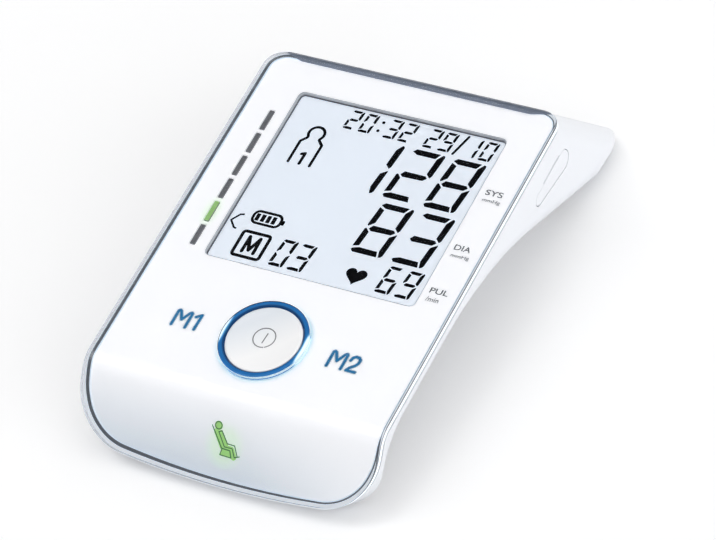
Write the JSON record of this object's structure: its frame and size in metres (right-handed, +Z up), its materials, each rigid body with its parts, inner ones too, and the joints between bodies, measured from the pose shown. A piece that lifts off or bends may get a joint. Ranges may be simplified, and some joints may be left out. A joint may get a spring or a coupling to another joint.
{
  "type": "blood pressure monitor",
  "caption": "Desktop upper arm blood pressure monitor with a curved clear front plate, display window, ringed start button and bridge shaped housing.",
  "frame": {"origin": "middle of the footprint on the table", "axes": "+Z up, -Y towards the user at the front lip, +X to the user's right, where the charging cover is"},
  "size_m": [0.099, 0.1716, 0.0405],
  "materials": {
    "clear_plate": "polished clear acrylic",
    "white_plastic": "satin moulded",
    "white_gloss": "smooth gloss moulded",
    "blue_light": "translucent blue, lit from below",
    "pearl_plastic": "pearl satin paint",
    "black_plastic": "fine texture",
    "circuit_board": "solder mask",
    "brass": "plated",
    "light_guide": "frosted clear",
    "display_glass": "polarised liquid crystal glass",
    "ribbon_cable": "polyimide film",
    "steel": "plated",
    "silicone": "soft translucent",
    "battery_wrap": "shrink film",
    "lead_sleeve": "soft sleeve",
    "lamp": "small light emitting diode",
    "rubber": "matt moulded"
  },
  "bodies": {
    "monitor": {"front_plate": "clear_plate", "fascia": "white_plastic", "rear_housing": "white_gloss", "light_ring": "blue_light", "switch_body": "black_plastic", "key_board": "circuit_board", "ring_lamp_1": "lamp", "ring_lamp_2": "lamp", "ring_lamp_3": "lamp", "ring_lamp_4": "lamp", "touch_pad_left": "brass", "touch_pad_right": "brass", "scale_guide": "light_guide", "scale_board": "circuit_board", "sign_guide": "light_guide", "display_glass": "display_glass", "backlight": "light_guide", "display_frame": "black_plastic", "display_cable": "ribbon_cable", "board_cable": "ribbon_cable", "main_board": "circuit_board", "radio_module": "steel", "processor": "black_plastic", "pressure_sensor": "black_plastic", "air_manifold": "white_plastic", "cuff_socket": "black_plastic", "pump_head": "black_plastic", "pump_motor": "steel", "release_valve": "steel", "pump_tube": "silicone", "sensor_tube": "silicone", "valve_tube": "silicone", "battery": "battery_wrap", "battery_plug": "white_plastic", "battery_lead": "lead_sleeve", "pump_lead": "lead_sleeve", "valve_lead": "lead_sleeve", "charging_socket": "steel", "screw_rear_left": "steel", "screw_rear_right": "steel", "screw_front_left": "steel", "screw_front_right": "steel", "foot_rear_left": "rubber", "foot_rear_right": "rubber", "foot_front_left": "rubber", "foot_front_right": "rubber"},
    "button": {"start_button": "pearl_plastic"},
    "cover": {"port_cover": "white_gloss"}
  },
  "joints": [
    {"name": "start_button_press", "type": "slide", "parent": "monitor", "child": "button", "axis": [0, 0.1305, -0.9914], "range_m": [0, 0.0005], "stiffness_N_per_m": 600, "springref_m": -0.0004},
    {"name": "port_cover_hinge", "type": "hinge", "parent": "monitor", "child": "cover", "pos_m": [0.0487, 0.03134, 0.02546], "axis": [0, 0.1305, -0.9914], "range_deg": [0, 100]}
  ]
}
